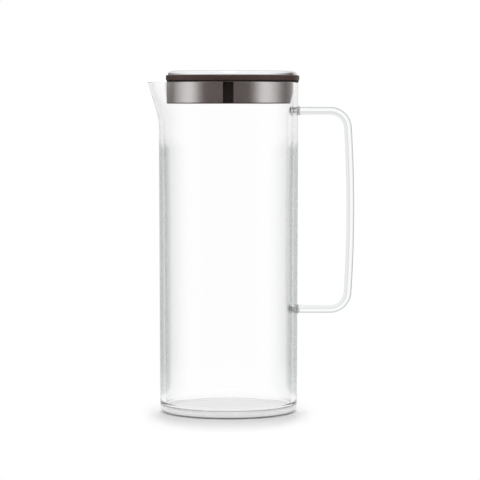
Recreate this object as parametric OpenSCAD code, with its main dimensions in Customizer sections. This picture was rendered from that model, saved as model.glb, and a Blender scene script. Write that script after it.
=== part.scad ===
// Clear plastic carafe with a spout, a bowed rod handle and a lift-off lid with a flat towards the spout.
// Millimetres, +Z up. The origin is the middle of the underside. The spout is at -X, the handle at +X.

/* [Carafe body] */
// Outer radius of the body at the rim
body_rim_r = 47.4; // [43:0.1:62]
// Draft of the moulded wall: how much smaller its radius is at the table than at the rim
body_draft = 0.7; // [0:0.1:3]
// Height of the rim above the table
body_h = 224.3; // [200:0.1:280]
// Wall thickness of the body below the mouth
wall = 3.6; // [2.5:0.1:5]
// Wall thickness at the mouth, where the lid goes in
mouth_wall = 3; // [2.4:0.1:4]
// Depth of the straight mouth below the rim
mouth_depth = 19.3; // [17:0.1:30]
// Height over which the mouth narrows to the wall below it
mouth_blend_h = 13; // [6:0.5:25]
// Thickness of the floor
floor_t = 5; // [3:0.5:8]
// Radius of the rounded heel outside
heel_r = 4.4; // [2:0.1:8]
// Radius of the corner between floor and wall inside
floor_corner_r = 3; // [1:0.1:6]
// Radius of the rounded edges of the rim and the pouring lip
rim_round = 0.4; // [0.3:0.1:1]

/* [Spout] */
// How far the pouring lip stands out from the wall at the rim
spout_reach = 9.2; // [6:0.1:14]
// Height of the spout, from its root on the wall to the rim
spout_drop = 24.9; // [18:0.1:32]
// Wall thickness of the spout
spout_wall = 2.1; // [1.8:0.1:3]
// Radius of the pouring lip, seen from above
spout_lip_r = 24; // [18:0.5:34]

/* [Handle] */
// Diameter of the handle rod
rod_d = 5.2; // [4.6:0.1:8]
// Distance from the rim down to the middle of the upper bar
handle_drop = 19.4; // [18.5:0.1:30]
// Distance between the middles of the upper and lower bars
handle_span = 135; // [90:1:160]
// Distance from the wall to the outer side of the grip
handle_reach = 38.1; // [30:0.1:55]
// Bend radius at the two corners, to the middle of the rod
handle_corner_r = 12; // [8:0.5:20]
// Bend radius of the bowed grip, to the middle of the rod
handle_bow_r = 880; // [400:10:2000]
// Diameter of the peg at each end of the handle, which passes through the wall
peg_d = 3.4; // [2.6:0.1:4]
// Diameter of the cap nuts inside the wall, across their corners
nut_d = 7.1; // [6.2:0.1:9]
// Thickness of the hexagon of a cap nut
nut_hex_t = 1.7; // [1.2:0.1:3]
// Height of the dome of a cap nut
nut_dome_h = 1.1; // [0.8:0.1:2]
// Diameter of the sealing washers outside the wall
washer_d = 6.2; // [5.6:0.1:9]
// Thickness of the sealing washers at the middle
washer_t = 1; // [0.6:0.1:2]

/* [Lid] */
// How far the lid's flange stands out past the rim
flange_overhang = 0.7; // [0.2:0.1:3]
// Thickness of the flange
flange_t = 3.4; // [3:0.1:6]
// Distance from the rim's outer radius back to the flat that opens the spout
flat_setback = 5.6; // [4:0.1:8]
// How far the plug's flat stays behind the flange's flat
plug_setback = 1.7; // [0.2:0.1:2.5]
// Radius of the flange's upper edge
flange_top_round = 0.7; // [0.4:0.1:1.8]
// Radius of the flange's lower edge
flange_bottom_round = 0.5; // [0.2:0.1:1]
// Thickness of the gasket between the flange and the rim
gasket_t = 1.2; // [0.6:0.1:2]
// How far the gasket stays back from the edge of the flange
gasket_inset = 0.5; // [0.2:0.1:1.5]
// Depth of the lid's plug below the rim
plug_depth = 14.5; // [12:0.1:15]
// Wall thickness of the plug behind the steel bands
skirt_wall = 2.4; // [1.8:0.1:4]
// Thickness of the lid's core over the hollow of the plug
core_top_t = 2.4; // [1.6:0.1:4]
// Thickness of the stiffening ribs inside the plug
rib_t = 1.6; // [1:0.1:3]
// Height of the stiffening ribs inside the plug
rib_h = 4; // [2:0.5:6]
// Width of the pouring notch in the plug's lower edge, on the handle side
notch_w = 37; // [20:1:40]
// Height of the pouring notch
notch_h = 12.5; // [4:0.1:13]

/* [Lid trim] */
// Thickness of the sheet steel bands round the plug
band_t = 0.5; // [0.3:0.1:1]
// Height of the core's lip that carries the bands
band_lip_h = 0.5; // [0.4:0.1:2]
// Width of the gaps between the two bands, where the grip pads sit
slot_w = 7; // [5:0.5:12]
// Thickness of the grip pads
pad_t = 1.6; // [1.2:0.1:2.2]
// Height of the pressed steel cover
cover_h = 3; // [2.4:0.1:5]
// Thickness of the cover's sheet steel
cover_sheet = 0.8; // [0.4:0.1:1.2]
// How far the cover stays back from the edge of the flange
cover_inset = 1.3; // [0.6:0.1:4]
// Width of the cover's rounded shoulder
cover_shoulder_w = 5; // [2:0.5:10]
// Height of the cover's rounded shoulder
cover_shoulder_h = 1.9; // [1:0.1:2.2]

/* [Clearances] */
// Gap between the plug and the mouth, and between the plug and the gasket
running_gap = 0.3; // [0.2:0.05:0.5]
// Gap between pieces that are fixed to each other
fixed_gap = 0.05; // [0.02:0.01:0.1]

/* [Hidden] */
$fn = 96;

// Body
body_foot_r = body_rim_r - body_draft;
mouth_r = body_rim_r - mouth_wall;
mouth_z = body_h - mouth_depth;
blend_z = mouth_z - mouth_blend_h;

// Spout: a cone on an axis of its own, which flares out through the wall from a small end in the hollow
spout_axis_x = body_rim_r + spout_reach - spout_lip_r;
spout_slope = spout_reach / spout_drop;
spout_low_r = 2 * spout_wall;
spout_low_z = body_h - (spout_lip_r - spout_low_r) / spout_slope;

// Handle
upper_z = body_h - handle_drop;
lower_z = upper_z - handle_span;
handle_mid_z = (upper_z + lower_z) / 2;
grip_x = body_rim_r + handle_reach - rod_d / 2;
corner_dz = handle_span / 2 - handle_corner_r;
bow_half_angle = asin(corner_dz / (handle_bow_r - handle_corner_r));
corner_x = grip_x - handle_bow_r + (handle_bow_r - handle_corner_r) * cos(bow_half_angle);
peg_hole_d = peg_d + 4 * fixed_gap;
nut_end_t = 1;
dome_share = 0.8;
rod_sides = 24;
corner_steps = 10;
bow_steps = 8;

// Lid
plug_r = mouth_r - running_gap;
flange_r = body_rim_r + flange_overhang;
flange_flat = body_rim_r - flat_setback;
plug_flat = flange_flat - plug_setback;
flange_z = body_h + gasket_t;
flange_top_z = flange_z + flange_t;
plug_z = body_h - plug_depth;
band_z = plug_z + band_lip_h;
skirt_r = plug_r - band_t - fixed_gap;
skirt_flat = plug_flat - band_t - fixed_gap;
cover_r = flange_r - cover_inset;
cover_flat = flange_flat - cover_inset;
notch_r = (pow(notch_w / 2, 2) + pow(notch_h, 2)) / (2 * notch_h);

// Cuts run this far past what they cut
over = 1;
// Rounding of an edge that is only broken
edge_break = 0.1;
// Steps of a rounded edge: of any arc, and of the small ones at the rim
arc_steps = 8;
rim_steps = 4;

// Radius of the body's outer face at a height
function outer_r(z) = body_foot_r + (body_rim_r - body_foot_r) * z / body_h;

// Radius of the body's inner face at a height
function inner_r(z) =
    let (low_r = outer_r(min(z, blend_z)) - wall)
    let (rise = min(max((z - blend_z) / mouth_blend_h, 0), 1))
    low_r + (mouth_r - low_r) * rise;

// Points of an elliptical arc
function arc(cx, cz, rx, rz, from, to, steps = arc_steps) =
    [for (i = [0:steps]) let (a = from + (to - from) * i / steps) [cx + rx * cos(a), cz + rz * sin(a)]];

// A ring of the handle rod round a point of its path, where the path's outer side faces an angle from +X
function rod_ring(x, z, angle) = [
    for (i = [0:rod_sides - 1])
    let (turn = 360 * i / rod_sides, side = rod_d / 2 * cos(turn))
    [x + side * cos(angle), rod_d / 2 * sin(turn), z + side * sin(angle)]
];

// Rings of the handle rod round a bend
function rod_bend(x, z, r, from, to, steps) = [
    for (i = [0:steps])
    let (angle = from + (to - from) * i / steps)
    rod_ring(x + r * cos(angle), z + r * sin(angle), angle)
];

// A closed solid through rings of equally many points
module sweep(rings) {
    n = len(rings[0]);
    last = len(rings) - 1;
    sides = [
        for (k = [0:last - 1]) for (i = [0:n - 1])
        let (a = k * n + i, b = k * n + (i + 1) % n)
        each [[a, b, b + n], [a, b + n, a + n]]
    ];
    first_end = [for (i = [n - 1:-1:0]) i];
    last_end = [for (i = [0:n - 1]) last * n + i];
    polyhedron([for (ring = rings) for (point = ring) point], concat(sides, [first_end, last_end]));
}

// The body's outside without the spout, grown by a gap
module body_outside(gap = 0) {
    rotate_extrude()
        polygon(concat(
            [[0, 0]],
            arc(body_foot_r + gap - heel_r, heel_r, heel_r, heel_r, -90, 0),
            arc(body_rim_r + gap - rim_round, body_h - rim_round, rim_round, rim_round, 0, 90, rim_steps),
            [[0, body_h]]
        ));
}

// The body's hollow without the spout, shrunk by a gap
module body_hollow(gap = 0) {
    corner_z = floor_t + floor_corner_r;
    rotate_extrude()
        polygon(concat(
            [[0, floor_t]],
            arc(inner_r(corner_z) - gap - floor_corner_r, corner_z, floor_corner_r, floor_corner_r, -90, 0),
            [[inner_r(blend_z) - gap, blend_z], [mouth_r - gap, mouth_z]],
            arc(mouth_r - gap + rim_round, body_h - rim_round, rim_round, rim_round, 180, 90, rim_steps),
            [[mouth_r - gap + rim_round, body_h + over], [0, body_h + over]]
        ));
}

// The spout's outside, about the spout's own axis
module spout_outside() {
    translate([-spout_axis_x, 0, 0])
        rotate_extrude()
            polygon(concat(
                [[0, spout_low_z], [spout_low_r, spout_low_z]],
                arc(spout_lip_r - rim_round, body_h - rim_round, rim_round, rim_round, 0, 90, rim_steps),
                [[0, body_h]]
            ));
}

// The spout's channel, open past the rim
module spout_channel() {
    lip_r = spout_lip_r - spout_wall;
    translate([-spout_axis_x, 0, 0])
        rotate_extrude()
            polygon(concat(
                [[0, spout_low_z], [spout_low_r - spout_wall, spout_low_z]],
                arc(lip_r + rim_round, body_h - rim_round, rim_round, rim_round, 180, 90, rim_steps),
                [[lip_r + rim_round, body_h + over], [0, body_h + over]]
            ));
}

// A cylinder along +X from a point on the handle's plane
module rod_x(x, z, d, length) {
    translate([x, 0, z]) rotate([0, 90, 0]) cylinder(d = d, h = length);
}

// A plate with a round edge and a flat towards the spout, its rounded edges given as [width, height]
module flat_sided(r, flat, z, h, top = [edge_break, edge_break], bottom = [edge_break, edge_break]) {
    far = 2 * r;
    intersection() {
        rotate_extrude()
            polygon(concat(
                [[0, z]],
                arc(r - bottom.x, z + bottom.y, bottom.x, bottom.y, -90, 0),
                arc(r - top.x, z + h - top.y, top.x, top.y, 0, 90),
                [[0, z + h]]
            ));
        rotate([90, 0, 0])
            linear_extrude(2 * far, center = true)
                polygon(concat(
                    [[far, z + h]],
                    arc(top.x - flat, z + h - top.y, top.x, top.y, 90, 180),
                    arc(bottom.x - flat, z + bottom.y, bottom.x, bottom.y, 180, 270),
                    [[far, z]]
                ));
    }
}

// A straight plate with a round edge and a flat towards the spout
module plain_flat_sided(r, flat, z, h) {
    intersection() {
        translate([0, 0, z]) cylinder(r = r, h = h);
        translate([-flat, -2 * r, z - over]) cube([flat + 2 * r, 4 * r, h + 2 * over]);
    }
}

// The arched notch through the plug's lower edge on the handle side
module pouring_notch() {
    rod_x(plug_r / 2, plug_z + notch_h - notch_r, 2 * notch_r, plug_r);
}

// The sheet that runs round the plug, before it is cut into two bands
module band_sheet() {
    h = flange_z - fixed_gap - band_z;
    difference() {
        plain_flat_sided(plug_r, plug_flat, band_z + fixed_gap, h - fixed_gap);
        plain_flat_sided(plug_r - band_t, plug_flat - band_t, band_z - over, h + 2 * over);
    }
}

// A grip pad on the side that sign gives: -1 is the front, 1 is the rear
module grip_pad(sign, gap = 0) {
    width = slot_w - 2 * fixed_gap + 2 * gap;
    z = band_z + fixed_gap - gap;
    h = flange_z - band_z - 2 * fixed_gap + 2 * gap;
    intersection() {
        difference() {
            translate([0, 0, z]) cylinder(r = plug_r, h = h);
            translate([0, 0, z - over]) cylinder(r = plug_r - pad_t - gap, h = h + 2 * over);
        }
        translate([-width / 2, (sign - 1) * plug_r, z - over])
            cube([width, 2 * plug_r, h + 2 * over]);
    }
}

// A hexagonal cap nut against the inside of the wall
module cap_nut(z) {
    seat_x = inner_r(z);
    base_x = seat_x - nut_hex_t;
    difference() {
        union() {
            intersection() {
                translate([base_x, 0, z])
                    rotate([0, 90, 0])
                        cylinder(d = nut_d, h = nut_hex_t + over, $fn = 6);
                body_hollow(fixed_gap);
            }
            translate([base_x, 0, z])
                rotate([0, -90, 0])
                    rotate_extrude()
                        polygon(concat([[0, 0]], arc(0, 0, dome_share * nut_d / 2, nut_dome_h, 0, 90)));
        }
        rod_x(base_x - nut_dome_h + nut_end_t, z, peg_hole_d, nut_hex_t + nut_dome_h);
    }
}

// A sealing washer with a saddle against the outside of the wall
module sealing_washer(z) {
    seat_x = outer_r(z);
    difference() {
        rod_x(seat_x - washer_t, z, washer_d, 2 * washer_t);
        body_outside(fixed_gap, $fn = 256);
        rod_x(seat_x - 2 * washer_t, z, peg_hole_d, 4 * washer_t);
    }
}

// Where the rod's shoulder meets its washer
function shoulder_x(z) = outer_r(z) + washer_t + fixed_gap;

// The peg at an end of the handle, from inside the rod through the wall into its nut
module handle_peg(z) {
    peg_x = inner_r(z) - nut_hex_t - nut_dome_h + nut_end_t + 2 * fixed_gap;
    rod_x(peg_x, z, peg_d, shoulder_x(z) + over - peg_x);
}

module carafe_body() {
    color([0.9, 0.95, 0.97, 0.35])
        difference() {
            union() {
                body_outside();
                spout_outside();
            }
            body_hollow();
            spout_channel();
            for (z = [upper_z, lower_z]) rod_x(mouth_r / 2, z, peg_hole_d, body_rim_r);
        }
}

module handle() {
    upper_c = handle_mid_z + corner_dz;
    lower_c = handle_mid_z - corner_dz;
    bow_x = grip_x - handle_bow_r;
    color([0.9, 0.95, 0.97, 0.5]) {
        sweep(concat(
            [rod_ring(shoulder_x(upper_z), upper_z, 90)],
            rod_bend(corner_x, upper_c, handle_corner_r, 90, bow_half_angle, corner_steps),
            [
                for (i = [1:bow_steps - 1])
                let (angle = bow_half_angle * (1 - 2 * i / bow_steps))
                rod_ring(bow_x + handle_bow_r * cos(angle), handle_mid_z + handle_bow_r * sin(angle), angle)
            ],
            rod_bend(corner_x, lower_c, handle_corner_r, -bow_half_angle, -90, corner_steps),
            [rod_ring(shoulder_x(lower_z), lower_z, -90)]
        ));
        handle_peg(upper_z);
        handle_peg(lower_z);
    }
}

module upper_handle_nut() {
    color([0.85, 0.9, 0.92, 0.6]) cap_nut(upper_z);
}

module lower_handle_nut() {
    color([0.85, 0.9, 0.92, 0.6]) cap_nut(lower_z);
}

module upper_handle_washer() {
    color([0.8, 0.83, 0.84, 0.7]) sealing_washer(upper_z);
}

module lower_handle_washer() {
    color([0.8, 0.83, 0.84, 0.7]) sealing_washer(lower_z);
}

module rim_gasket() {
    outer = flange_r - gasket_inset;
    inner = plug_r + running_gap;
    z = body_h + fixed_gap;
    h = gasket_t - 2 * fixed_gap;
    color([0.09, 0.07, 0.065])
        difference() {
            plain_flat_sided(outer, flange_flat - gasket_inset, z, h);
            translate([0, 0, z - over]) cylinder(r = inner, h = h + 2 * over);
        }
}

module lid_core() {
    boss_h = cover_h - cover_sheet;
    boss_gap = cover_sheet + fixed_gap;
    hollow_h = flange_top_z - core_top_t - plug_z;
    hollow_r = skirt_r - skirt_wall;
    hollow_flat = skirt_flat - skirt_wall;
    shoulder = [cover_shoulder_w, cover_shoulder_h];
    color([0.29, 0.235, 0.215])
        difference() {
            union() {
                difference() {
                    union() {
                        flat_sided(
                            flange_r, flange_flat, flange_z, flange_t,
                            [flange_top_round, flange_top_round], [flange_bottom_round, flange_bottom_round]
                        );
                        flat_sided(
                            cover_r - boss_gap, cover_flat - boss_gap,
                            flange_top_z - over, boss_h + over, shoulder
                        );
                        plain_flat_sided(skirt_r, skirt_flat, plug_z, flange_z - plug_z + over);
                        plain_flat_sided(plug_r, plug_flat, plug_z, band_lip_h);
                    }
                    plain_flat_sided(hollow_r, hollow_flat, plug_z - over, hollow_h + over);
                }
                intersection() {
                    translate([0, 0, plug_z + hollow_h - rib_h])
                        for (turn = [45, 135])
                            rotate([0, 0, turn])
                                translate([-flange_r, -rib_t / 2, 0])
                                    cube([2 * flange_r, rib_t, rib_h + over]);
                    plain_flat_sided(hollow_r + over, hollow_flat + over, plug_z, hollow_h + over);
                }
            }
            pouring_notch();
            for (sign = [-1, 1]) grip_pad(sign, fixed_gap);
        }
}

module lid_cover() {
    z = flange_top_z + fixed_gap;
    shoulder = [cover_shoulder_w, cover_shoulder_h];
    under_h = cover_h - cover_sheet;
    color([0.78, 0.78, 0.77])
        difference() {
            flat_sided(cover_r, cover_flat, z, cover_h, shoulder);
            flat_sided(cover_r - cover_sheet, cover_flat - cover_sheet, z - over, under_h + over, shoulder);
        }
}

module spout_side_band() {
    far = 2 * plug_r;
    color([0.62, 0.6, 0.58])
        intersection() {
            band_sheet();
            translate([-far - slot_w / 2, -far, plug_z]) cube([far, 2 * far, plug_depth + flange_t]);
        }
}

module handle_side_band() {
    far = 2 * plug_r;
    color([0.62, 0.6, 0.58])
        difference() {
            intersection() {
                band_sheet();
                translate([slot_w / 2, -far, plug_z]) cube([far, 2 * far, plug_depth + flange_t]);
            }
            pouring_notch();
        }
}

module front_grip_pad() {
    color([0.15, 0.1, 0.09]) grip_pad(-1);
}

module rear_grip_pad() {
    color([0.15, 0.1, 0.09]) grip_pad(1);
}

carafe_body();
handle();
upper_handle_nut();
lower_handle_nut();
upper_handle_washer();
lower_handle_washer();
rim_gasket();
lid_core();
lid_cover();
spout_side_band();
handle_side_band();
front_grip_pad();
rear_grip_pad();
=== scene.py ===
"""Looks of a clear carafe with a lift-off lid, dressed over its CAD frame.

Metres, +Z up. The spout is at -X, the handle at +X, and the photograph looks along +Y.
"""

import math

import bmesh
import bpy
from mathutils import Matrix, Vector


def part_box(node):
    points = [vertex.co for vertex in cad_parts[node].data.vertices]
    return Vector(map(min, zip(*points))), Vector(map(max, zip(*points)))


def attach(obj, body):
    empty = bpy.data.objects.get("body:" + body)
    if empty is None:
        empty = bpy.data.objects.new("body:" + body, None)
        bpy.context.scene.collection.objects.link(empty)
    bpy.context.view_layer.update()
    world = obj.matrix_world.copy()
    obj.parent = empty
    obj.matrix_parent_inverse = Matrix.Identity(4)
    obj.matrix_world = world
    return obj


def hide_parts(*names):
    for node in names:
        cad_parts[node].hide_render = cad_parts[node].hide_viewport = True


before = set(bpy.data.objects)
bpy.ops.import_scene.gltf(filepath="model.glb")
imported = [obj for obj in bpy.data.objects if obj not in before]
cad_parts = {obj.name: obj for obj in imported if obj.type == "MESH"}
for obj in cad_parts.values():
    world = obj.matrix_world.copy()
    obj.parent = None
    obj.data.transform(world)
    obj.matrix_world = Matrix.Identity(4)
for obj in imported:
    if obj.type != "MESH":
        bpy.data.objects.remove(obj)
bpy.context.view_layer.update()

MM = 0.001

# Camera, at the photograph's viewing angle
CAMERA_AT = Vector((0.0078, -1.70, 0.213))
CAMERA_AIM = Vector((0.0078, 0.0, 0.117))
CAMERA_LENS = 187.5
SENSOR_W = 36.0

# Body: walls, floor and rounded edges
WALL = 3.6 * MM
MOUTH_WALL = 3.0 * MM
MOUTH_DEPTH = 19.3 * MM
MOUTH_BLEND = 70.0 * MM
DRAFT = 0.7 * MM
FLOOR = 5.0 * MM
HEEL_R = 4.4 * MM
FLOOR_CORNER_R = 3.0 * MM
RIM_ROUND = 0.4 * MM
PEG_HOLE_R = 1.8 * MM
PEG_HOLE_LENGTH = 20.0 * MM

# Spout: a flare of the wall, strongest in its middle
SPOUT_DROP = 24.9 * MM
SPOUT_WALL = 2.1 * MM
SPOUT_HALF_DEG = 34.0
SPOUT_FILLET = 1.2 * MM
SPOUT_INSET = 1.7 * MM

# Handle and the domes of its cap nuts
HANDLE_CORNER_R = 12.0 * MM
HANDLE_BOW_R = 880.0 * MM
PEG_R = 1.7 * MM
WASHER = 1.0 * MM
SHOULDER_ROUND = 0.5 * MM
NUT_DOME = 1.1 * MM

# Lid
FLANGE_TOP_ROUND = 0.7 * MM
FLANGE_BOTTOM_ROUND = 0.5 * MM
FLAT_CORNER_R = 1.6 * MM
LEAST_CORNER_R = 0.3 * MM
BAND = 0.5 * MM
BAND_EDGE = 0.12 * MM
BAND_LIP = 0.5 * MM
SKIRT_WALL = 2.4 * MM
CORE_TOP = 2.4 * MM
CORE_EDGE = 0.15 * MM
HOLLOW_ROUND = 1.5 * MM
RIB = 1.6 * MM
RIB_H = 4.0 * MM
RIB_ROUND = 0.4 * MM
RIB_TURNS_DEG = (45, 135)
NOTCH_W = 37.0 * MM
NOTCH_H = 12.5 * MM
PAD_EDGE = 0.25 * MM
COVER_SHEET = 0.8 * MM
COVER_SHOULDER = (5.0 * MM, 1.9 * MM)
COVER_EDGE = 0.15 * MM
COVER_LEAN = 0.35 * MM
COVER_SIDE_DEG = 6
GASKET_ROUND = 0.2 * MM
GAP = 0.05 * MM

# Sizes that the CAD nodes give
body_low, body_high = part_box("carafe_body")
handle_low, handle_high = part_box("handle")
nut_low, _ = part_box("upper_handle_nut")
core_low, core_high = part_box("lid_core")
cover_low, cover_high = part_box("lid_cover")
gasket_low, gasket_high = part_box("rim_gasket")
spout_band_low, spout_band_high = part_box("spout_side_band")
_, handle_band_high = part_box("handle_side_band")
pad_low, pad_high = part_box("front_grip_pad")

BODY_H = body_high.z
RIM_R = body_high.y
FOOT_R = RIM_R - DRAFT
MOUTH_R = RIM_R - MOUTH_WALL
MOUTH_Z = BODY_H - MOUTH_DEPTH
SPOUT_REACH = -body_low.x - RIM_R - SPOUT_INSET
SPOUT_SLOPE = SPOUT_REACH / SPOUT_DROP
SPOUT_Z = BODY_H - SPOUT_DROP

ROD_R = handle_high.y
UPPER_Z = handle_high.z - ROD_R
LOWER_Z = handle_low.z + ROD_R
GRIP_X = handle_high.x - ROD_R
DOME_X = nut_low.x + NUT_DOME

FLANGE_R = core_high.y
FLANGE_FLAT = -core_low.x
FLANGE_Z = gasket_high.z + GAP
FLANGE_TOP = cover_low.z - GAP
PLUG_Z = core_low.z
PLUG_R = handle_band_high.x
PLUG_FLAT = -spout_band_low.x
SKIRT_R = PLUG_R - BAND - GAP
HOLLOW_R = SKIRT_R - SKIRT_WALL
CEILING = FLANGE_TOP - CORE_TOP
COVER_R = cover_high.y
COVER_FLAT = -cover_low.x
SLOT_W = pad_high.x - pad_low.x
NOTCH_R = ((NOTCH_W / 2) ** 2 + NOTCH_H**2) / (2 * NOTCH_H)
POURING_NOTCH = (PLUG_R, PLUG_Z + NOTCH_H - NOTCH_R, NOTCH_R, PLUG_R)


# Mesh helpers

SHARP_DEG = 35


def new_piece(name, points, faces):
    """A smooth-shaded mesh object, its faces turned outwards, with creases at its sharp edges."""
    mesh = bpy.data.meshes.new(name)
    mesh.from_pydata(points, [], faces)
    mesh.validate()
    turned = bmesh.new()
    turned.from_mesh(mesh)
    bmesh.ops.recalc_face_normals(turned, faces=turned.faces)
    turned.to_mesh(mesh)
    turned.free()
    mesh.shade_smooth()
    mesh.set_sharp_from_angle(angle=math.radians(SHARP_DEG))
    piece = bpy.data.objects.new(name, mesh)
    bpy.context.scene.collection.objects.link(piece)
    return piece


def loft(name, rings):
    """A skin through rings of equally many points, capped at both ends."""
    count = len(rings[0])
    last = (len(rings) - 1) * count
    points = [point for ring in rings for point in ring]
    faces = []
    for low in range(0, last, count):
        high = low + count
        for i in range(count):
            j = (i + 1) % count
            faces.append((low + i, low + j, high + j, high + i))
    for ring, first, flip in ((rings[0], 0, True), (rings[-1], last, False)):
        middle = sum((Vector(point) for point in ring), Vector()) / count
        points.append(tuple(middle))
        centre = len(points) - 1
        for i in range(count):
            a, b = first + i, first + (i + 1) % count
            faces.append((centre, b, a) if flip else (centre, a, b))
    return new_piece(name, points, faces)


def arc(centre_r, centre_z, size_r, size_z, start_deg, end_deg, steps):
    """Points (radius, height) of an elliptical arc."""
    found = []
    for i in range(steps + 1):
        turn = math.radians(start_deg + (end_deg - start_deg) * i / steps)
        found.append((centre_r + size_r * math.cos(turn), centre_z + size_z * math.sin(turn)))
    return found


def between(start, end, steps):
    """Values from start to end, without start."""
    return [start + (end - start) * i / steps for i in range(1, steps + 1)]


def smooth_max(a, b, blend):
    """The larger of two sizes, with a fillet where they cross."""
    near = max(blend - abs(a - b), 0) / blend
    return max(a, b) + near * near * blend / 4


def smooth_step(t):
    """A share that eases from 0 to 1."""
    t = min(max(t, 0), 1)
    return t * t * (3 - 2 * t)


# Carafe body

BODY_SIDES = 288
# Rings in the flat middle of the floor, as shares of the foot's radius
FLOOR_RINGS = (0.25, 0.7)
# The rings stand closer from this far below the spout
CLOSE_RINGS = 6.0 * MM


def spout_share(angle):
    """Share of the spout's reach at an angle: 1 in its middle, easing to 0 at its sides."""
    off = min(abs(math.degrees(angle) - 180) / SPOUT_HALF_DEG, 1)
    return (1 - off**2) ** 2


def spout_reach(z):
    """How far the middle of the spout stands out at a height."""
    return smooth_max(SPOUT_SLOPE * (z - SPOUT_Z), 0, SPOUT_FILLET)


def outer_radius(angle, z):
    wall_r = FOOT_R + DRAFT * z / BODY_H
    return wall_r + spout_reach(z) * spout_share(angle)


def inner_radius(angle, z):
    low_z = MOUTH_Z - MOUTH_BLEND
    low_r = FOOT_R + DRAFT * min(z, low_z) / BODY_H - WALL
    wall_r = low_r + (MOUTH_R - low_r) * smooth_step((z - low_z) / MOUTH_BLEND)
    thinner = (MOUTH_WALL - SPOUT_WALL) * smooth_step((z - SPOUT_Z) / SPOUT_DROP)
    return wall_r + (spout_reach(z) + thinner) * spout_share(angle)


def body_ring(z, radius_of):
    """A ring at a height, with a radius for each angle."""
    ring = []
    for i in range(BODY_SIDES):
        angle = 2 * math.pi * i / BODY_SIDES
        radius = radius_of(angle)
        ring.append((radius * math.cos(angle), radius * math.sin(angle), z))
    return ring


def make_body():
    """The moulded body, from the middle of its underside over the rim to the middle of its floor."""
    close_z = SPOUT_Z - CLOSE_RINGS
    rim_z = BODY_H - RIM_ROUND
    rings = []
    for share in FLOOR_RINGS:
        rings.append(body_ring(0, lambda a, s=share: s * FOOT_R))
    for r, z in arc(FOOT_R - HEEL_R, HEEL_R, HEEL_R, HEEL_R, -90, 0, 12):
        rings.append(body_ring(z, lambda a, r=r: r))
    for z in between(HEEL_R, close_z, 14) + between(close_z, rim_z, 36):
        rings.append(body_ring(z, lambda a, z=z: outer_radius(a, z)))
    for inset, z in arc(-RIM_ROUND, rim_z, RIM_ROUND, RIM_ROUND, 15, 90, 5):
        rings.append(body_ring(z, lambda a, i=inset: outer_radius(a, rim_z) + i))
    for inset, z in arc(RIM_ROUND, rim_z, RIM_ROUND, RIM_ROUND, 90, 165, 5):
        rings.append(body_ring(z, lambda a, i=inset: inner_radius(a, rim_z) + i))
    corner_z = FLOOR + FLOOR_CORNER_R
    heights = [rim_z] + between(rim_z, close_z, 36) + between(close_z, corner_z, 40)
    for z in heights:
        rings.append(body_ring(z, lambda a, z=z: inner_radius(a, z)))
    corner_r = inner_radius(0, corner_z) - FLOOR_CORNER_R
    for r, z in arc(corner_r, corner_z, FLOOR_CORNER_R, FLOOR_CORNER_R, 0, -90, 9)[1:]:
        rings.append(body_ring(z, lambda a, r=r: r))
    for share in reversed(FLOOR_RINGS):
        rings.append(body_ring(FLOOR, lambda a, s=share: s * FOOT_R))
    return loft("carafe_shell", rings)


HOLE_SIDES = 96


def drill(piece, holes):
    """Round holes along X through a piece, given as (x, z, radius, length)."""
    cutters = []
    for x, z, radius, length in holes:
        rings = []
        for along in (x - length / 2, x + length / 2):
            turns = [2 * math.pi * i / HOLE_SIDES for i in range(HOLE_SIDES)]
            rings.append([(along, radius * math.cos(t), z + radius * math.sin(t)) for t in turns])
        cutters.append(loft("cutter", rings))
    for cutter in cutters:
        cut = piece.modifiers.new("hole", "BOOLEAN")
        cut.operation = "DIFFERENCE"
        cut.solver = "EXACT"
        cut.object = cutter
    graph = bpy.context.evaluated_depsgraph_get()
    mesh = bpy.data.meshes.new_from_object(piece.evaluated_get(graph))
    piece.modifiers.clear()
    piece.data = mesh
    mesh.set_sharp_from_angle(angle=math.radians(SHARP_DEG))
    for cutter in cutters:
        bpy.data.objects.remove(cutter)


# Handle

ROD_SIDES = 40
OUTER_SIDE = "outer_side"


def handle_path():
    """Points (x, z, angle of the outer side, radius) along the bent rod, from peg to peg."""
    half = (UPPER_Z - LOWER_Z) / 2
    middle = (UPPER_Z + LOWER_Z) / 2
    rise = half - HANDLE_CORNER_R
    bow_inside = HANDLE_BOW_R - HANDLE_CORNER_R
    bow_deg = math.degrees(math.asin(rise / bow_inside))
    bow_x = GRIP_X - HANDLE_BOW_R
    corner_x = bow_x + bow_inside * math.cos(math.radians(bow_deg))
    peg_x = handle_low.x
    shoulder_x = FOOT_R + DRAFT * UPPER_Z / BODY_H + WASHER + GAP
    rounding = SHOULDER_ROUND
    upper = [(peg_x, PEG_R - rounding), (peg_x + rounding, PEG_R), (shoulder_x, PEG_R)]
    for inset, along in arc(-rounding, rounding, rounding, rounding, 270, 360, 4):
        upper.append((shoulder_x + along, ROD_R + inset))
    for x in between(shoulder_x + rounding, corner_x, 8)[:-1]:
        upper.append((x, ROD_R))
    path = [(x, UPPER_Z, 90, r) for x, r in upper]
    for x, z in arc(corner_x, middle + rise, HANDLE_CORNER_R, HANDLE_CORNER_R, 90, bow_deg, 20):
        turn = math.degrees(math.atan2(z - middle - rise, x - corner_x))
        path.append((x, z, turn, ROD_R))
    for turn in between(bow_deg, 0, 14):
        x = bow_x + HANDLE_BOW_R * math.cos(math.radians(turn))
        path.append((x, middle + HANDLE_BOW_R * math.sin(math.radians(turn)), turn, ROD_R))
    lower_half = [(x, 2 * middle - z, -turn, r) for x, z, turn, r in reversed(path[:-1])]
    return path + lower_half


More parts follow.
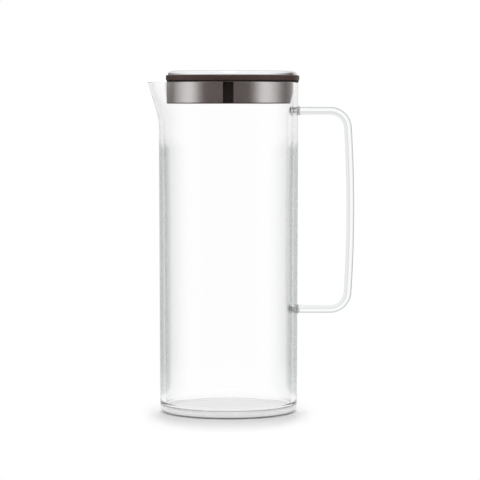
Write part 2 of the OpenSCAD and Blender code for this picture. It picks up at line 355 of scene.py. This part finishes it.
def make_handle():
    """The bent rod, with an attribute that runs from -1 on its inner side to 1 on its outer side, which
    places its painted shade.
    """
    rings = []
    for x, z, turn, radius in handle_path():
        out_x, out_z = math.cos(math.radians(turn)), math.sin(math.radians(turn))
        ring = []
        for i in range(ROD_SIDES):
            side = 2 * math.pi * i / ROD_SIDES
            out = radius * math.cos(side)
            ring.append((x + out * out_x, radius * math.sin(side), z + out * out_z))
        rings.append(ring)
    rod = loft("handle_rod", rings)
    outer = rod.data.attributes.new(OUTER_SIDE, "FLOAT", "POINT")
    for k in range(len(rings) * ROD_SIDES):
        outer.data[k].value = math.cos(2 * math.pi * k / ROD_SIDES)
    return rod


# Lid

FLAT_STEPS = 40
CORNER_STEPS = 8
ROUND_STEPS = 300
GASKET_STEPS = 260
PAD_ROWS = 24
PAD_COLUMNS = 16


def flat_sided_outline(radius, flat, corner):
    """A circle with a flat towards the spout and rounded corners, anticlockwise from an end of the flat."""
    across = math.sqrt((radius - corner) ** 2 - (flat - corner) ** 2)
    turn = math.degrees(math.atan2(across, corner - flat))
    points = [(-flat, across - 2 * across * i / FLAT_STEPS) for i in range(FLAT_STEPS)]
    points += arc(corner - flat, -across, corner, corner, 180, 360 - turn, CORNER_STEPS)[:-1]
    points += arc(0, 0, radius, radius, -turn, turn, ROUND_STEPS)[:-1]
    points += arc(corner - flat, across, corner, corner, turn, 180, CORNER_STEPS)[:-1]
    return points


def inset_ring(radius, flat, inset, z):
    """A ring set back from a flat-sided outline, with its corners following."""
    corner = max(FLAT_CORNER_R - inset, LEAST_CORNER_R)
    return [(x, y, z) for x, y in flat_sided_outline(radius - inset, flat - inset, corner)]


def make_core():
    """Flange, plug and hollow underside in one skin, from the middle of its top to that of its hollow."""
    boss_r = COVER_R - COVER_SHEET - GAP
    boss_flat = COVER_FLAT - COVER_SHEET - GAP
    shoulder_w, shoulder_h = COVER_SHOULDER
    skirt_flat = PLUG_FLAT - BAND - GAP
    hollow_flat = skirt_flat - SKIRT_WALL
    lip_top = PLUG_Z + BAND_LIP
    edge = CORE_EDGE
    rings = []
    for inset, z in arc(shoulder_w, core_high.z - shoulder_h, -shoulder_w, shoulder_h, 90, 0, 6):
        rings.append(inset_ring(boss_r, boss_flat, inset, z))
    rings.append(inset_ring(boss_r, boss_flat, 0, FLANGE_TOP))
    rounding = FLANGE_TOP_ROUND
    for inset, z in arc(rounding, FLANGE_TOP - rounding, -rounding, rounding, 90, 0, 8):
        rings.append(inset_ring(FLANGE_R, FLANGE_FLAT, inset, z))
    rounding = FLANGE_BOTTOM_ROUND
    for inset, z in arc(rounding, FLANGE_Z + rounding, -rounding, rounding, 0, -90, 5):
        rings.append(inset_ring(FLANGE_R, FLANGE_FLAT, inset, z))
    rings.append(inset_ring(SKIRT_R, skirt_flat, 0, FLANGE_Z))
    rings.append(inset_ring(SKIRT_R, skirt_flat, 0, lip_top))
    rings.append(inset_ring(PLUG_R, PLUG_FLAT, edge, lip_top))
    rings.append(inset_ring(PLUG_R, PLUG_FLAT, 0, lip_top - edge))
    rings.append(inset_ring(PLUG_R, PLUG_FLAT, 0, PLUG_Z + edge))
    rings.append(inset_ring(PLUG_R, PLUG_FLAT, edge, PLUG_Z))
    rings.append(inset_ring(HOLLOW_R, hollow_flat, -edge, PLUG_Z))
    rings.append(inset_ring(HOLLOW_R, hollow_flat, 0, PLUG_Z + edge))
    rounding = HOLLOW_ROUND
    rings.append(inset_ring(HOLLOW_R, hollow_flat, 0, CEILING - rounding))
    for inset, z in arc(rounding, CEILING - rounding, -rounding, rounding, 20, 90, 4):
        rings.append(inset_ring(HOLLOW_R, hollow_flat, inset, z))
    core = loft("lid_core_moulding", rings)
    drill(core, [POURING_NOTCH])
    return core


def make_ribs():
    """Two crossed stiffening ribs under the lid, with rounded lower edges."""
    half = RIB / 2
    round_z = CEILING - RIB_H + RIB_ROUND
    section = [(half, CEILING)]
    section += arc(half - RIB_ROUND, round_z, RIB_ROUND, RIB_ROUND, 0, -90, 4)
    section += arc(RIB_ROUND - half, round_z, RIB_ROUND, RIB_ROUND, -90, -180, 4)
    section += [(-half, CEILING)]
    ribs = []
    for turn_deg in RIB_TURNS_DEG:
        turn = math.radians(turn_deg)
        rings = []
        for along in (-HOLLOW_R, HOLLOW_R):
            ring = []
            for across, z in section:
                x = along * math.cos(turn) - across * math.sin(turn)
                y = along * math.sin(turn) + across * math.cos(turn)
                ring.append((x, y, z))
            rings.append(ring)
        ribs.append(loft(f"lid_rib_{turn_deg}", rings))
    return ribs


def make_cover():
    """The pressed steel cover: its side leans in a little and runs on into a rounded shoulder."""
    shoulder_w, shoulder_h = COVER_SHOULDER
    low, high = cover_low.z, cover_high.z
    under_z = high - COVER_SHEET - shoulder_h
    rings = []
    for inset, z in arc(COVER_SHEET + shoulder_w, under_z, -shoulder_w, shoulder_h, 90, 0, 10):
        rings.append(inset_ring(COVER_R, COVER_FLAT, inset, z))
    rings.append(inset_ring(COVER_R, COVER_FLAT, COVER_SHEET, low))
    rings.append(inset_ring(COVER_R, COVER_FLAT, COVER_EDGE, low))
    rings.append(inset_ring(COVER_R, COVER_FLAT, 0, low + COVER_EDGE))
    outer_w = COVER_LEAN + shoulder_w
    for inset, z in arc(outer_w, high - shoulder_h, -shoulder_w, shoulder_h, COVER_SIDE_DEG, 90, 20):
        rings.append(inset_ring(COVER_R, COVER_FLAT, inset, z))
    return loft("lid_cover_pressing", rings)


def make_gasket():
    """The dark ring under the flange, open at the spout."""
    inner_r = MOUTH_R
    outer_r = gasket_high.y
    end_x = -gasket_low.x
    low, high = gasket_low.z, gasket_high.z
    rounding = GASKET_ROUND
    start = math.acos(-end_x / outer_r)
    stop = math.acos(-end_x / inner_r)
    section = arc(outer_r - rounding, low + rounding, rounding, rounding, -90, 0, 4)
    section += arc(outer_r - rounding, high - rounding, rounding, rounding, 0, 90, 4)
    section += [(inner_r, high), (inner_r, low)]
    rings = []
    for i in range(GASKET_STEPS + 1):
        ring = []
        for r, z in section:
            limit = start + (stop - start) * (outer_r - r) / (outer_r - inner_r)
            turn = -limit + 2 * limit * i / GASKET_STEPS
            ring.append((r * math.cos(turn), r * math.sin(turn), z))
        rings.append(ring)
    return loft("rim_gasket_ring", rings)


def make_band(name, side):
    """One sheet steel band round half of the plug: side -1 is the spout's, 1 the handle's."""
    low, high = spout_band_low.z, spout_band_high.z
    edge = BAND_EDGE
    layers = [(0, low + edge), (0, high - edge), (edge, high), (BAND - edge, high)]
    layers += [(BAND, high - edge), (BAND, low + edge), (BAND - edge, low), (edge, low)]
    outlines = [inset_ring(PLUG_R, PLUG_FLAT, inset, z) for inset, z in layers]
    gap_x = SLOT_W / 2 + GAP
    keep = [i for i, (x, y, z) in enumerate(outlines[0]) if side * x > gap_x]
    if side < 0:
        first = next(k for k in range(1, len(keep)) if keep[k] != keep[k - 1] + 1)
        keep = keep[first:] + keep[:first]
    rings = [[outline[i] for outline in outlines] for i in keep]
    for ring in (rings[0], rings[-1]):
        for k, (x, y, z) in enumerate(ring):
            radius = math.hypot(x, y)
            ring[k] = (side * gap_x, math.copysign(math.sqrt(radius**2 - gap_x**2), y), z)
    band = loft(name, rings)
    if side > 0:
        drill(band, [POURING_NOTCH])
    return band


def make_pad(name, side):
    """A grip pad between the bands, its near-black standing in for the shade of the slot there, with its
    edges set back: side -1 is the front, 1 the rear.
    """
    low, high = pad_low.z, pad_high.z
    half = math.asin(SLOT_W / 2 / PLUG_R)
    rings = []
    for i in range(PAD_COLUMNS + 1):
        turn = -half + 2 * half * i / PAD_COLUMNS
        edge_in = PAD_EDGE if i in (0, PAD_COLUMNS) else 0
        ring = []
        for j in range(PAD_ROWS + 1):
            z = low + (high - low) * j / PAD_ROWS
            r = PLUG_R - (PAD_EDGE if j in (0, PAD_ROWS) else 0) - edge_in
            ring.append((r * math.sin(turn), side * r * math.cos(turn), z))
        for z in (high, low):
            r = PLUG_R - BAND
            ring.append((r * math.sin(turn), side * r * math.cos(turn), z))
        rings.append(ring)
    return loft(name, rings)


# Node helpers

# Noise mostly stays between these values
NOISE_SPAN = (0.3, 0.7)


class NodeTree:
    """Short calls for the nodes of a material or of the world."""

    def __init__(self, owner):
        owner.use_nodes = True
        self.nodes = owner.node_tree.nodes
        self.links = owner.node_tree.links

    def add(self, kind, **settings):
        node = self.nodes.new(kind)
        for name, value in settings.items():
            setattr(node, name, value)
        return node

    def join(self, source, target):
        self.links.new(source, target)

    def math(self, operation, first, second):
        node = self.add("ShaderNodeMath", operation=operation)
        for socket, value in zip(node.inputs, (first, second)):
            if isinstance(value, bpy.types.NodeSocket):
                self.join(value, socket)
            else:
                socket.default_value = value
        return node.outputs[0]

    def place(self):
        return self.add("ShaderNodeTexCoord").outputs["Object"]

    def axes(self, vector):
        """The parts X, Y and Z of a vector, by name."""
        parts = self.add("ShaderNodeSeparateXYZ")
        self.join(vector, parts.inputs[0])
        return parts.outputs

    def spread(self, source, low, high, start, end, easing="LINEAR"):
        """Values from low to high while a source runs from start to end."""
        node = self.add("ShaderNodeMapRange", interpolation_type=easing)
        for name, value in (("From Min", start), ("From Max", end), ("To Min", low), ("To Max", high)):
            node.inputs[name].default_value = value
        self.join(source, node.inputs["Value"])
        return node.outputs[0]


class Shader(NodeTree):
    """A node material with one Principled shader."""

    def __init__(self, name):
        self.material = bpy.data.materials.new(name)
        super().__init__(self.material)
        self.principled = self.nodes["Principled BSDF"]
        self.output = self.nodes["Material Output"]

    def set(self, **values):
        for name, value in values.items():
            self.principled.inputs[name.replace("_", " ")].default_value = value

    def round_place(self, round_scale, height_scale):
        """Coordinates along the round of the object and up it, for marks that run round it."""
        parts = self.axes(self.place())
        turn = self.math("ARCTAN2", parts["Y"], parts["X"])
        both = self.add("ShaderNodeCombineXYZ")
        self.join(self.math("MULTIPLY", turn, round_scale), both.inputs["X"])
        self.join(self.math("MULTIPLY", parts["Z"], height_scale), both.inputs["Y"])
        return both.outputs[0]

    def noise(self, place, scale, detail=4):
        node = self.add("ShaderNodeTexNoise")
        node.inputs["Scale"].default_value = scale
        node.inputs["Detail"].default_value = detail
        self.join(place, node.inputs["Vector"])
        return node.outputs["Fac"]

    def ramp(self, source, stops):
        """A base colour that runs through stops of (position, colour)."""
        node = self.add("ShaderNodeValToRGB")
        elements = node.color_ramp.elements
        for position, _ in stops[1:-1]:
            elements.new(position)
        for element, (position, colour) in zip(elements, stops):
            element.position = position
            element.color = (*colour, 1)
        self.join(source, node.inputs["Fac"])
        self.join(node.outputs["Color"], self.principled.inputs["Base Color"])

    def colours(self, noise, colours):
        """A base colour that varies between two colours with a noise."""
        self.ramp(noise, list(zip(NOISE_SPAN, colours)))

    def roughness(self, noise, low, high):
        self.join(self.spread(noise, low, high, *NOISE_SPAN), self.principled.inputs["Roughness"])

    def bump(self, source, depth, strength):
        node = self.add("ShaderNodeBump")
        node.inputs["Strength"].default_value = strength
        node.inputs["Distance"].default_value = depth
        self.join(source, node.inputs["Height"])
        self.join(node.outputs["Normal"], self.principled.inputs["Normal"])

    def clarity(self, outside):
        """Clear from within, and on the outside as clear as a share says: below 1 it looks milky."""
        within = self.add("ShaderNodeNewGeometry").outputs["Backfacing"]
        self.join(self.math("MAXIMUM", within, outside), self.principled.inputs["Transmission Weight"])


class Studio(NodeTree):
    """The nodes of the world or the floor, with none at the start."""

    def __init__(self, owner):
        super().__init__(owner)
        self.nodes.clear()

    def fade(self, source, start, end, low=0, high=1):
        return self.spread(source, low, high, start, end, "SMOOTHSTEP")

    def distance(self, place, stretch):
        """Distance of a place from the middle, with each axis stretched."""
        stretched = self.add("ShaderNodeVectorMath", operation="MULTIPLY")
        stretched.inputs[1].default_value = stretch
        self.join(place, stretched.inputs[0])
        length = self.add("ShaderNodeVectorMath", operation="LENGTH")
        self.join(stretched.outputs[0], length.inputs[0])
        return length.outputs["Value"]

    def rays(self):
        """Shares of light: mirrored, seen through something, and sent on by nothing matt."""
        path = self.add("ShaderNodeLightPath").outputs
        seen = self.math("MAXIMUM", path["Is Camera Ray"], path["Is Glossy Ray"])
        seen = self.math("MAXIMUM", seen, path["Is Transmission Ray"])
        fresh = self.math("LESS_THAN", path["Diffuse Depth"], 0.5)
        mirrored = self.math("GREATER_THAN", path["Glossy Depth"], 0.5)
        return mirrored, path["Is Transmission Ray"], self.math("MULTIPLY", seen, fresh)


# Materials

CLEAR_IOR = 1.49
CLEAR_EDGE_MIRROR = (0.1, 0.1, 0.1, 1)
ABSORBED_TINT = (0.45, 0.5, 0.5, 1)
ABSORBED_DENSITY = 2.0
# Painted shade on the clear plastic from square on to edge on, in place of the dark lines refraction draws
# at its edges: of the walls, of the rod and of its nuts
WALL_EDGE_SHADES = [
    (0.2, (1, 1, 1)),
    (0.55, (0.86, 0.87, 0.87)),
    (0.68, (0.45, 0.47, 0.48)),
    (1.0, (0.16, 0.18, 0.19)),
]
ROD_EDGE_SHADES = [(0.1, (0.965, 0.97, 0.97)), (0.3, (0.6, 0.62, 0.63)), (0.75, (0.15, 0.17, 0.18))]
NUT_EDGE_SHADES = [(0.2, (0.99, 0.99, 0.99)), (0.5, (0.93, 0.94, 0.94)), (1.0, (0.78, 0.79, 0.80))]
# Share of the painted edge shade in the body's thin mouth and in its base
PALE_MOUTH = 0.25
PALE_FADE = 13 * MM
PALE_BASE = 0.3
# Share of the painted edge shade on the rod's inner side, and a soft painted shade stripe there as (place,
# half width, strength)
INNER_EDGE_SHADE = 0.25
INNER_FADE = (-0.6, 0.6)
ROD_SHADE_STRIPE = (-0.28, 0.45, 0.32)
# How clear the milky places are, and where they end
BASE_CLARITY = 0.15
BASE_SIDE = (0.94 * FOOT_R, 0.97 * FOOT_R)
BASE_TOP = (0.95 * FLOOR, 1.35 * FLOOR)
RIM_CLARITY = 0.3
RIM_TOP = (BODY_H - 0.4 * RIM_ROUND, BODY_H - 0.2 * RIM_ROUND)
DOME_CLARITY = 0.3
DOME_FADE = 0.2 * MM
# Pairs of colours between which the other materials vary
CLEAR_SILICONE = ((0.84, 0.85, 0.86), (0.90, 0.91, 0.92))
BROWN = ((0.052, 0.030, 0.024), (0.063, 0.036, 0.029))
# Near-black of the gasket, which on the pads between the bands stands in for the shade of the slot there
DARK_SILICONE_AND_SLOT_SHADE = ((0.013, 0.0072, 0.0062), (0.018, 0.0098, 0.0080))
WARM_GREY = ((0.58, 0.56, 0.55), (0.67, 0.65, 0.64))
POLISHED = ((0.86, 0.865, 0.87), (0.92, 0.925, 0.93))
# Scales along each axis that draw the noise on the polished steel out into streaks
STREAK_SCALE = (30, 2400, 30)


def clear_plastic(name, edge_shades, edge_shade=None, clarity=None):
    """Clear moulded plastic: faint flow waves, a trace of haze and painted shade where it is seen edge on.

    A function given may change where the painted shade shows, and one given as clarity says where the
    outside is milky.
    """
    made = Shader(name)
    made.set(Transmission_Weight=1.0, IOR=CLEAR_IOR, Specular_Tint=CLEAR_EDGE_MIRROR)
    place = made.place()
    layer = made.add("ShaderNodeLayerWeight")
    layer.inputs["Blend"].default_value = 0.5
    edge = layer.outputs["Facing"]
    # Painted shade: the base colour greys where the surface is seen edge on
    made.ramp(edge_shade(made, edge) if edge_shade else edge, edge_shades)
    if clarity:
        made.clarity(clarity(made))
    made.roughness(made.noise(place, scale=60), low=0.0, high=0.02)
    made.bump(made.noise(place, scale=22, detail=2), depth=0.02 * MM, strength=0.25)
    absorb = made.add("ShaderNodeVolumeAbsorption")
    absorb.inputs["Color"].default_value = ABSORBED_TINT
    absorb.inputs["Density"].default_value = ABSORBED_DENSITY
    made.join(absorb.outputs["Volume"], made.output.inputs["Volume"])
    return made.material


def body_edge_shade(made, edge):
    """The painted edge shade is weaker in the body's mouth and base."""
    height = made.axes(made.place())["Z"]
    mouth = made.spread(height, 1, PALE_MOUTH, MOUTH_Z - 2 * PALE_FADE, MOUTH_Z - PALE_FADE)
    base = made.spread(height, PALE_BASE, 1, FLOOR, 3 * FLOOR)
    return made.math("MULTIPLY", edge, made.math("MINIMUM", mouth, base))


def body_clarity(made):
    """The outside of the base and the top of the rim are milky."""
    parts = made.axes(made.place())
    squares = [made.math("POWER", parts[axis], 2) for axis in ("X", "Y")]
    reach = made.math("POWER", made.math("ADD", *squares), 0.5)
    inward = made.spread(reach, 1, BASE_CLARITY, *BASE_SIDE)
    upward = made.spread(parts["Z"], BASE_CLARITY, 1, *BASE_TOP)
    rim = made.spread(parts["Z"], 1, RIM_CLARITY, *RIM_TOP)
    return made.math("MINIMUM", rim, made.math("MAXIMUM", inward, upward))


def rod_edge_shade(made, edge):
    """The painted edge shade is strongest on the rod's outer side, with a soft painted shade stripe on its
    inner side.
    """
    outer = made.add("ShaderNodeAttribute", attribute_name=OUTER_SIDE).outputs["Fac"]
    edge = made.math("MULTIPLY", edge, made.spread(outer, INNER_EDGE_SHADE, 1, *INNER_FADE))
    stripe_place, stripe_half, strength = ROD_SHADE_STRIPE
    off = made.math("ABSOLUTE", made.math("SUBTRACT", outer, stripe_place), 0)
    return made.math("MAXIMUM", edge, made.spread(off, strength, 0, 0, stripe_half))


def dome_clarity(made):
    """The dome of a cap nut is milky."""
    return made.spread(made.axes(made.place())["X"], DOME_CLARITY, 1, DOME_X, DOME_X + DOME_FADE)


def clear_silicone():
    """Cloudy silicone, which lets a little light through."""
    made = Shader("clear_silicone")
    made.set(Transmission_Weight=0.25, IOR=1.41)
    place = made.place()
    made.colours(made.noise(place, scale=400), CLEAR_SILICONE)
    made.roughness(made.noise(place, scale=900), low=0.3, high=0.45)
    return made.material


def brown_plastic():
    """Satin brown moulding with a fine grain and slight mottling."""
    made = Shader("brown_plastic")
    place = made.place()
    made.set(Specular_IOR_Level=0.3)
    made.colours(made.noise(place, scale=160), BROWN)
    grain = made.noise(place, scale=2600, detail=3)
    made.roughness(grain, low=0.34, high=0.46)
    made.bump(grain, depth=0.03 * MM, strength=0.35)
    return made.material


def dark_silicone():
    """Matt dark silicone with a fine grain; on the pads between the bands its near-black stands in for the
    shade of the slot there.
    """
    made = Shader("dark_silicone")
    place = made.place()
    made.set(Specular_IOR_Level=0.2)
    made.colours(made.noise(place, scale=300), DARK_SILICONE_AND_SLOT_SHADE)
    grain = made.noise(place, scale=3200, detail=2)
    made.roughness(grain, low=0.5, high=0.65)
    made.bump(grain, depth=0.02 * MM, strength=0.3)
    return made.material


def band_steel():
    """Warm grey steel with fine brushed lines round the plug."""
    made = Shader("band_steel")
    made.set(Metallic=1.0, Anisotropic=0.2)
    lines = made.noise(made.round_place(round_scale=6, height_scale=9000), scale=1.0, detail=6)
    made.colours(lines, WARM_GREY)
    made.roughness(lines, low=0.15, high=0.21)
    made.bump(lines, depth=0.004 * MM, strength=0.3)
    return made.material


def polished_steel():
    """Polished steel with the faint streaks of its rolling direction."""
    made = Shader("polished_steel")
    made.set(Metallic=1.0)
    stretch = made.add("ShaderNodeMapping")
    stretch.inputs["Scale"].default_value = STREAK_SCALE
    made.join(made.place(), stretch.inputs["Vector"])
    lines = made.noise(stretch.outputs[0], scale=1.0, detail=5)
    made.colours(lines, POLISHED)
    made.roughness(lines, low=0.07, high=0.13)
    return made.material


# Studio

AMBIENT = 0.85
DIM_ROOM = (0.147, 0.12, 0.115, 1)
WHITE = (1, 1, 1, 1)
# Where mirrored light is white, by the direction's height and its share along +Y
TOP_LIGHT = (0.24, 0.55)
BACKDROP = (0.7, 1.0)
BACKDROP_LEVEL = 0.8
FRONT_LIGHT = (-0.2, -0.6)
FRONT_RISE = (0.12, 0.3)
SIDE_LIGHT_RISE = (-0.82, -0.38)
SIDE_LIGHT_FALL = (-0.36, 0.52)
STUDIO_TURN_DEG = 2.5
# Light that was mirrored inside a clear wall has crossed its surface twice, and sees white all round
WALL_CROSSINGS = 2


def make_world():
    """White all round, and for mirrored light a dim room.

    In that room the backdrop, the side lights, a front light and the top light are white.
    """
    world = bpy.data.worlds.new("studio")
    bpy.context.scene.world = world
    made = Studio(world)
    mirrored, _, seen = made.rays()
    crossings = made.add("ShaderNodeLightPath").outputs["Transmission Depth"]
    turned = made.add("ShaderNodeVectorRotate", rotation_type="Z_AXIS")
    turned.inputs["Angle"].default_value = math.radians(STUDIO_TURN_DEG)
    made.join(made.add("ShaderNodeTexCoord").outputs["Generated"], turned.inputs["Vector"])
    direction = made.axes(turned.outputs[0])
    along, up = direction["Y"], direction["Z"]
    back = made.fade(along, *BACKDROP, 0, BACKDROP_LEVEL)
    top = made.fade(up, *TOP_LIGHT)
    side_rise = made.fade(along, *SIDE_LIGHT_RISE)
    sides = made.math("MULTIPLY", side_rise, made.fade(along, *SIDE_LIGHT_FALL, 1, 0))
    front = made.math("MULTIPLY", made.fade(along, *FRONT_LIGHT), made.fade(up, *FRONT_RISE))
    in_wall = made.math("COMPARE", crossings, WALL_CROSSINGS)
    unmirrored = made.math("SUBTRACT", 1, mirrored)
    white = back
    for share in (top, sides, front, in_wall, unmirrored):
        white = made.math("MAXIMUM", white, share)
    colour = made.add("ShaderNodeMix", data_type="RGBA")
    made.join(white, colour.inputs["Factor"])
    colour.inputs["A"].default_value = DIM_ROOM
    colour.inputs["B"].default_value = WHITE
    strength = made.math("ADD", made.math("MULTIPLY", seen, 1 - AMBIENT), AMBIENT)
    light = made.add("ShaderNodeBackground")
    made.join(colour.outputs["Result"], light.inputs["Color"])
    made.join(strength, light.inputs["Strength"])
    output = made.add("ShaderNodeOutputWorld")
    made.join(light.outputs[0], output.inputs["Surface"])


FLOOR_SIZE = 12.0
FLOOR_Z = -0.0002
FLOOR_COLOUR = (0.9, 0.9, 0.9, 1)
# Seen through clear pieces the floor glows this much, painted light over its shadow there
FLOOR_GLOW_THROUGH = 0.85
# The floor opens to mirrored light between these distances
FLOOR_NEAR = 0.13
FLOOR_FAR = 0.35
# Beyond an ellipse the floor glows white, painted light that cuts its shadow short at the sides: distances
# along X count this many times
SHADOW_NARROW = 2.4
SHADOW_NEAR = 0.1
SHADOW_FAR = 0.15


def make_floor():
    """A white floor: shaded near the object save for painted light over its shadow at the sides and through
    clear pieces; further out glowing white and open to mirrored light.
    """
    half = FLOOR_SIZE / 2
    corners = [(-half, -half, 0), (half, -half, 0), (half, half, 0), (-half, half, 0)]
    mesh = bpy.data.meshes.new("floor")
    mesh.from_pydata(corners, [], [(0, 1, 2, 3)])
    floor = bpy.data.objects.new("floor", mesh)
    bpy.context.scene.collection.objects.link(floor)
    floor.location = (0, 0, FLOOR_Z)
    material = bpy.data.materials.new("white_floor")
    mesh.materials.append(material)
    made = Studio(material)
    matt = made.add("ShaderNodeBsdfDiffuse")
    matt.inputs["Color"].default_value = FLOOR_COLOUR
    place = made.place()
    mirrored, through, seen = made.rays()
    away = made.fade(made.distance(place, (1, 1, 1)), FLOOR_NEAR, FLOOR_FAR)
    # Painted light: the floor glows over its shadow beyond an ellipse, and where it is seen through clear
    # pieces
    shadow_hiding_glow = made.fade(made.distance(place, (SHADOW_NARROW, 1, 1)), SHADOW_NEAR, SHADOW_FAR)
    glow_level = made.math("MAXIMUM", shadow_hiding_glow, made.math("MULTIPLY", through, FLOOR_GLOW_THROUGH))
    glow = made.add("ShaderNodeEmission")
    glow.inputs["Color"].default_value = WHITE
    both = made.add("ShaderNodeMixShader")
    made.join(made.math("MULTIPLY", glow_level, seen), both.inputs[0])
    made.join(matt.outputs[0], both.inputs[1])
    made.join(glow.outputs[0], both.inputs[2])
    opened = made.add("ShaderNodeMixShader")
    made.join(made.math("MULTIPLY", mirrored, away), opened.inputs[0])
    made.join(both.outputs[0], opened.inputs[1])
    made.join(made.add("ShaderNodeBsdfTransparent").outputs[0], opened.inputs[2])
    output = made.add("ShaderNodeOutputMaterial")
    made.join(opened.outputs[0], output.inputs["Surface"])


def place_and_aim(name, data, place, aim):
    """A lamp or camera at a place, turned to a point."""
    holder = bpy.data.objects.new(name, data)
    bpy.context.scene.collection.objects.link(holder)
    holder.location = place
    holder.rotation_mode = "QUATERNION"
    holder.rotation_quaternion = (aim - place).to_track_quat("-Z", "Y")
    return holder


LAMP_AT = Vector((0, 0.28, 3.0))
LAMP_AIM = Vector((0, 0, 0))
LAMP_SIZE = (0.25, 0.9)
LAMP_POWER = 32


def make_lamp():
    """One long soft lamp overhead, which doesn't show through the clear pieces."""
    lamp = bpy.data.lights.new("overhead", "AREA")
    lamp.shape = "RECTANGLE"
    lamp.size, lamp.size_y = LAMP_SIZE
    lamp.energy = LAMP_POWER
    overhead = place_and_aim("overhead", lamp, LAMP_AT, LAMP_AIM)
    overhead.visible_transmission = False


def make_camera():
    camera = bpy.data.cameras.new("camera")
    camera.lens = CAMERA_LENS
    camera.sensor_width = SENSOR_W
    bpy.context.scene.camera = place_and_aim("camera", camera, CAMERA_AT, CAMERA_AIM)


# Assembly


def dress(piece, body, slot, material, *nodes):
    """Give a piece its material, say which body it rides on, and hide the CAD nodes it stands for."""
    piece.data.materials.clear()
    piece.data.materials.append(material)
    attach(piece, body)
    if nodes:
        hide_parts(*nodes)


clear = clear_plastic("clear_plastic", WALL_EDGE_SHADES, edge_shade=body_edge_shade, clarity=body_clarity)
clear_rod = clear_plastic("clear_rod", ROD_EDGE_SHADES, edge_shade=rod_edge_shade)
clear_nut = clear_plastic("clear_nut", NUT_EDGE_SHADES, clarity=dome_clarity)
silicone = clear_silicone()
dark = dark_silicone()
brown = brown_plastic()
steel = band_steel()
polish = polished_steel()

shell = make_body()
drill(shell, [(RIM_R, z, PEG_HOLE_R, PEG_HOLE_LENGTH) for z in (UPPER_Z, LOWER_Z)])
dress(shell, "carafe", "clear_plastic", clear, "carafe_body")
dress(make_handle(), "carafe", "clear_plastic", clear_rod, "handle")
dress(make_gasket(), "gasket", "dark_silicone", dark, "rim_gasket")
dress(make_core(), "lid", "brown_plastic", brown, "lid_core")
for rib in make_ribs():
    dress(rib, "lid", "brown_plastic", brown)
dress(make_cover(), "lid", "polished_steel", polish, "lid_cover")
dress(make_band("spout_side_sheet", -1), "lid", "band_steel", steel, "spout_side_band")
dress(make_band("handle_side_sheet", 1), "lid", "band_steel", steel, "handle_side_band")
# The pads' near-black is painted shade of the slot between the bands
dress(make_pad("front_pad", -1), "lid", "dark_silicone", dark, "front_grip_pad")
dress(make_pad("rear_pad", 1), "lid", "dark_silicone", dark, "rear_grip_pad")

carried_over = {
    "upper_handle_nut": clear_nut,
    "lower_handle_nut": clear_nut,
    "upper_handle_washer": silicone,
    "lower_handle_washer": silicone,
}
for node, material in carried_over.items():
    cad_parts[node].data.materials.clear()
    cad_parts[node].data.materials.append(material)

make_camera()
make_world()
make_floor()
make_lamp()

bpy.context.scene.view_settings.view_transform = "Standard"
